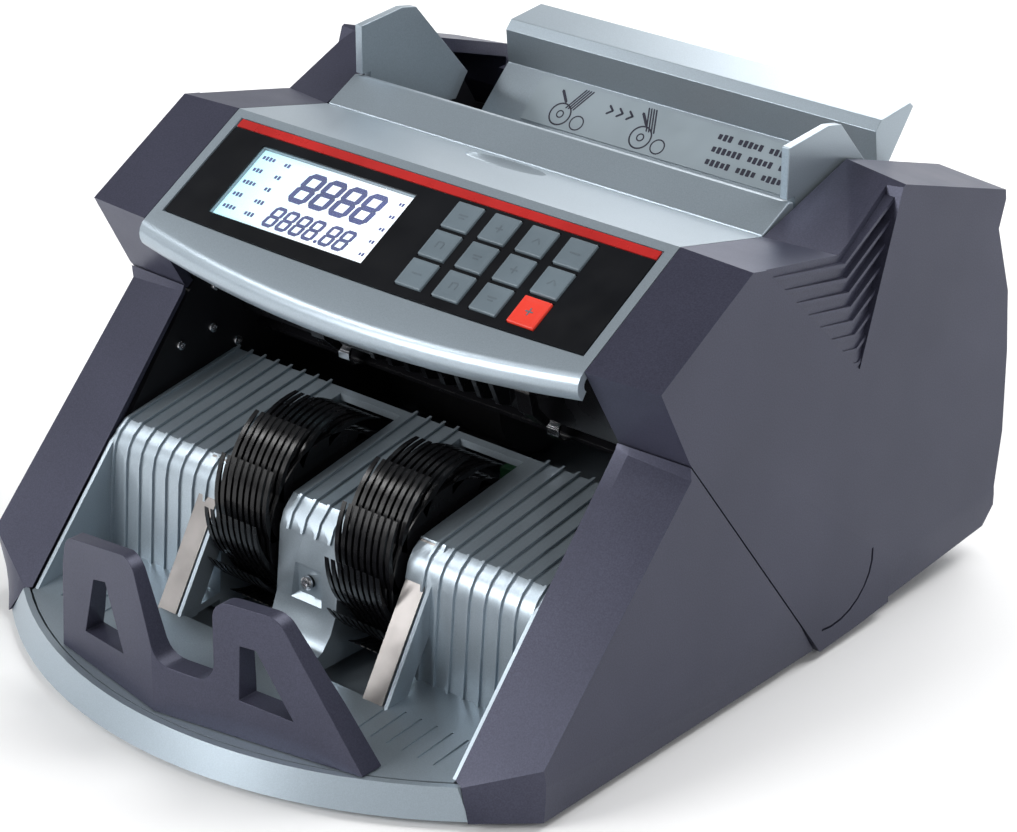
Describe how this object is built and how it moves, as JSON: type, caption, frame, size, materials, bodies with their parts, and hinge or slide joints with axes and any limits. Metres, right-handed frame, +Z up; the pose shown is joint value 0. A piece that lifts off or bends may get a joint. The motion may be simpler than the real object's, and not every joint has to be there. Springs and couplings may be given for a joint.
{
  "type": "banknote counting machine",
  "caption": "Desktop banknote counter: sloping keypad console, rear hopper with sliding side guides, feed rollers, fan-wheel stacker pocket and a two-finger front stop.",
  "frame": {"origin": "centre of the bounding box in plan, at the undersides of the rubber feet", "axes": "+X to the user's right, +Y from the front stop to the rear panel, +Z up"},
  "size_m": [0.24, 0.2888, 0.168],
  "materials": {
    "shell": "satin metallic purple-grey",
    "silver_plastic": "silver metallic, satin",
    "black_plastic": "black, slightly glossy",
    "membrane": "black membrane, semi-gloss",
    "trim_red": "red printed stripe",
    "key_grey": "grey, satin",
    "key_red": "red, satin",
    "lcd_glass": "clear window",
    "lcd": "backlit screen, cyan to white",
    "rubber": "black",
    "feed_rubber": "brown rubber",
    "steel": "ground",
    "dark_steel": "black powder coat",
    "motor_steel": "dark, satin",
    "board": "green solder mask",
    "label": "silver foil with dark pictograms"
  },
  "bodies": {
    "case": {"left_arm": "shell", "right_arm": "shell", "left_side_cover": "shell", "right_side_cover": "shell", "rear_panel": "shell", "front_stop": "shell", "base_tray": "silver_plastic", "console_housing": "silver_plastic", "stacker_shroud": "silver_plastic", "hopper_front_plate": "silver_plastic", "hopper_rear_tray": "silver_plastic", "hopper_bed": "black_plastic", "note_guide_plate": "black_plastic", "power_inlet": "black_plastic", "fuse_holder": "black_plastic", "display_jack": "black_plastic", "keypad_overlay": "membrane", "red_trim_stripe": "trim_red", "lcd_window": "lcd_glass", "lcd_module": "lcd", "foot_front_left": "rubber", "foot_front_right": "rubber", "foot_rear_left": "rubber", "foot_rear_right": "rubber", "drive_belt": "rubber", "stacker_belt": "rubber", "guide_rail": "steel", "left_chassis_plate": "dark_steel", "right_chassis_plate": "dark_steel", "motor": "motor_steel", "transformer": "motor_steel", "main_board": "board", "keypad_board": "board", "hopper_label": "label"},
    "stacker": {"stacker_shaft": "steel", "stacker_wheel_left": "black_plastic", "stacker_wheel_right": "black_plastic", "stacker_pulley": "black_plastic"},
    "feed": {"feed_shaft": "steel", "feed_tyre_left": "feed_rubber", "feed_tyre_right": "feed_rubber"},
    "delivery": {"delivery_roller": "steel"},
    "pressure": {"pressure_roller": "feed_rubber"},
    "motor_rotor": {"motor_pulley": "steel"},
    "guide_left": {"hopper_guide_left": "silver_plastic"},
    "guide_right": {"hopper_guide_right": "silver_plastic"},
    "rocker": {"power_rocker": "black_plastic"},
    "gap_knob": {"gap_adjust_knob": "black_plastic"},
    "button_1_1": {"key_1_1": "key_grey"},
    "button_1_2": {"key_1_2": "key_grey"},
    "button_1_3": {"key_1_3": "key_grey"},
    "button_1_4": {"key_1_4": "key_grey"},
    "button_2_1": {"key_2_1": "key_grey"},
    "button_2_2": {"key_2_2": "key_grey"},
    "button_2_3": {"key_2_3": "key_grey"},
    "button_2_4": {"key_2_4": "key_grey"},
    "button_3_1": {"key_3_1": "key_grey"},
    "button_3_2": {"key_3_2": "key_grey"},
    "button_3_3": {"key_3_3": "key_grey"},
    "button_3_4": {"key_3_4": "key_red"}
  },
  "joints": [
    {"name": "stacker_spin", "type": "hinge", "parent": "case", "child": "stacker", "pos_m": [0, -0.04535, 0.0415], "axis": [1, 0, 0], "continuous": true},
    {"name": "feed_spin", "type": "hinge", "parent": "case", "child": "feed", "pos_m": [0, 0.06965, 0.0985], "axis": [1, 0, 0], "continuous": true},
    {"name": "delivery_spin", "type": "hinge", "parent": "case", "child": "delivery", "pos_m": [0, 0.02865, 0.0785], "axis": [1, 0, 0], "continuous": true},
    {"name": "pressure_spin", "type": "hinge", "parent": "case", "child": "pressure", "pos_m": [0, 0.05065, 0.1145], "axis": [1, 0, 0], "continuous": true},
    {"name": "motor_spin", "type": "hinge", "parent": "case", "child": "motor_rotor", "pos_m": [0, 0.08265, 0.0365], "axis": [1, 0, 0], "continuous": true},
    {"name": "guide_left_slide", "type": "slide", "parent": "case", "child": "guide_left", "axis": [1, 0, 0], "range_m": [0, 0.037]},
    {"name": "guide_right_slide", "type": "slide", "parent": "case", "child": "guide_right", "axis": [-1, 0, 0], "range_m": [0, 0.037]},
    {"name": "rocker_tip", "type": "hinge", "parent": "case", "child": "rocker", "pos_m": [-0.0675, 0.13215, 0.0345], "axis": [-1, 0, 0], "range_deg": [0, 20]},
    {"name": "gap_knob_turn", "type": "hinge", "parent": "case", "child": "gap_knob", "pos_m": [0, 0.14065, 0.1065], "axis": [0, 1, 0], "range_deg": [-170, 170]},
    {"name": "press_1_1", "type": "slide", "parent": "case", "child": "button_1_1", "axis": [0, 0.4924, -0.8704], "range_m": [0, 0.0006], "stiffness_N_per_m": 1000},
    {"name": "press_1_2", "type": "slide", "parent": "case", "child": "button_1_2", "axis": [0, 0.4924, -0.8704], "range_m": [0, 0.0006], "stiffness_N_per_m": 1000},
    {"name": "press_1_3", "type": "slide", "parent": "case", "child": "button_1_3", "axis": [0, 0.4924, -0.8704], "range_m": [0, 0.0006], "stiffness_N_per_m": 1000},
    {"name": "press_1_4", "type": "slide", "parent": "case", "child": "button_1_4", "axis": [0, 0.4924, -0.8704], "range_m": [0, 0.0006], "stiffness_N_per_m": 1000},
    {"name": "press_2_1", "type": "slide", "parent": "case", "child": "button_2_1", "axis": [0, 0.4924, -0.8704], "range_m": [0, 0.0006], "stiffness_N_per_m": 1000},
    {"name": "press_2_2", "type": "slide", "parent": "case", "child": "button_2_2", "axis": [0, 0.4924, -0.8704], "range_m": [0, 0.0006], "stiffness_N_per_m": 1000},
    {"name": "press_2_3", "type": "slide", "parent": "case", "child": "button_2_3", "axis": [0, 0.4924, -0.8704], "range_m": [0, 0.0006], "stiffness_N_per_m": 1000},
    {"name": "press_2_4", "type": "slide", "parent": "case", "child": "button_2_4", "axis": [0, 0.4924, -0.8704], "range_m": [0, 0.0006], "stiffness_N_per_m": 1000},
    {"name": "press_3_1", "type": "slide", "parent": "case", "child": "button_3_1", "axis": [0, 0.4924, -0.8704], "range_m": [0, 0.0006], "stiffness_N_per_m": 1000},
    {"name": "press_3_2", "type": "slide", "parent": "case", "child": "button_3_2", "axis": [0, 0.4924, -0.8704], "range_m": [0, 0.0006], "stiffness_N_per_m": 1000},
    {"name": "press_3_3", "type": "slide", "parent": "case", "child": "button_3_3", "axis": [0, 0.4924, -0.8704], "range_m": [0, 0.0006], "stiffness_N_per_m": 1000},
    {"name": "press_3_4", "type": "slide", "parent": "case", "child": "button_3_4", "axis": [0, 0.4924, -0.8704], "range_m": [0, 0.0006], "stiffness_N_per_m": 1000}
  ],
  "couplings": [
    {"joint": "delivery_spin", "follows": "stacker_spin", "ratio": 2.25},
    {"joint": "feed_spin", "follows": "stacker_spin", "ratio": 1.875},
    {"joint": "motor_spin", "follows": "stacker_spin", "ratio": 2.5},
    {"joint": "pressure_spin", "follows": "stacker_spin", "ratio": -3.8462}
  ]
}
